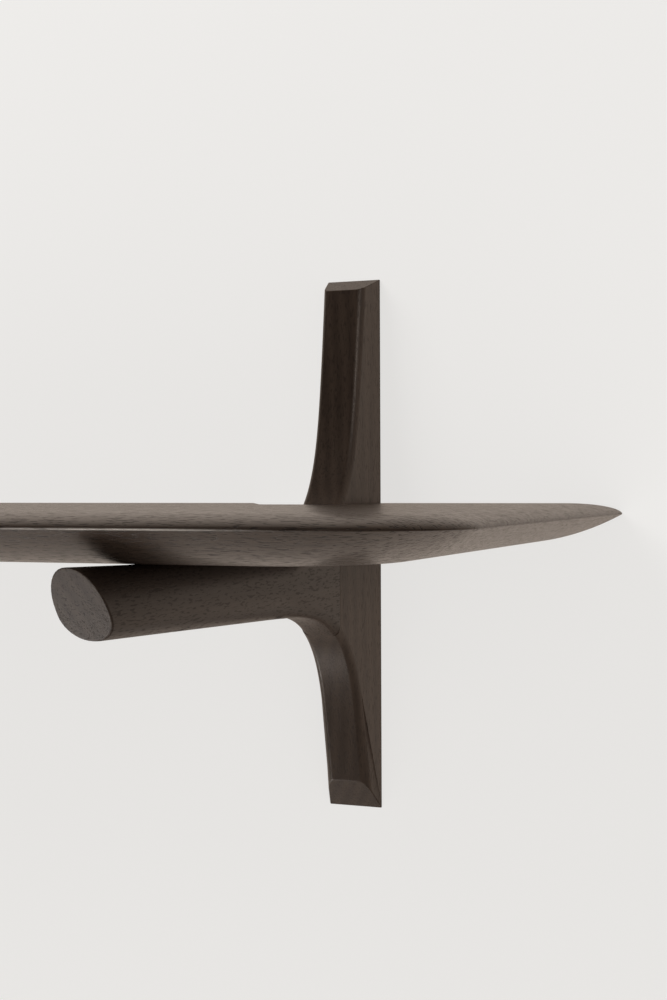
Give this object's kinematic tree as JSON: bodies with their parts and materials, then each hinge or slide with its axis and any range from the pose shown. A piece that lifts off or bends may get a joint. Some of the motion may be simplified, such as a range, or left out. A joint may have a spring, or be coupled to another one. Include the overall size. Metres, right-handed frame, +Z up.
{
  "type": "wall shelf",
  "caption": "Long wooden wall shelf with a bevelled knife-edge rim, carried by sculpted brackets whose upright spines pass through notches in the board.",
  "frame": {"origin": "middle of the board's back edge, on the wall plane, half-way through the board's thickness", "axes": "+X along the board, +Y into the wall, +Z up"},
  "size_m": [0.9, 0.27, 0.257],
  "materials": {
    "board_wood": "dark brown stain under satin lacquer",
    "spine_wood": "dark brown stain under satin lacquer",
    "arm_wood": "dark brown stain under satin lacquer",
    "raw_wood": "bare beech dowel",
    "insert_brass": "turned",
    "zinc_steel": "zinc plated"
  },
  "bodies": {
    "root": {"stave_rear": "board_wood", "stave_middle": "board_wood", "stave_front": "board_wood", "spine_right": "spine_wood", "spine_left": "spine_wood", "arm_right": "arm_wood", "arm_left": "arm_wood", "arm_dowels_right": "raw_wood", "arm_dowels_left": "raw_wood", "board_inserts_right": "insert_brass", "board_inserts_left": "insert_brass", "board_bolts_right": "zinc_steel", "board_bolts_left": "zinc_steel", "bolt_plugs_right": "arm_wood", "bolt_plugs_left": "arm_wood", "hanger_upper_right": "zinc_steel", "hanger_lower_right": "zinc_steel", "hanger_upper_left": "zinc_steel", "hanger_lower_left": "zinc_steel", "hanger_screws_upper_right": "zinc_steel", "hanger_screws_lower_right": "zinc_steel", "hanger_screws_upper_left": "zinc_steel", "hanger_screws_lower_left": "zinc_steel"}
  },
  "joints": []
}
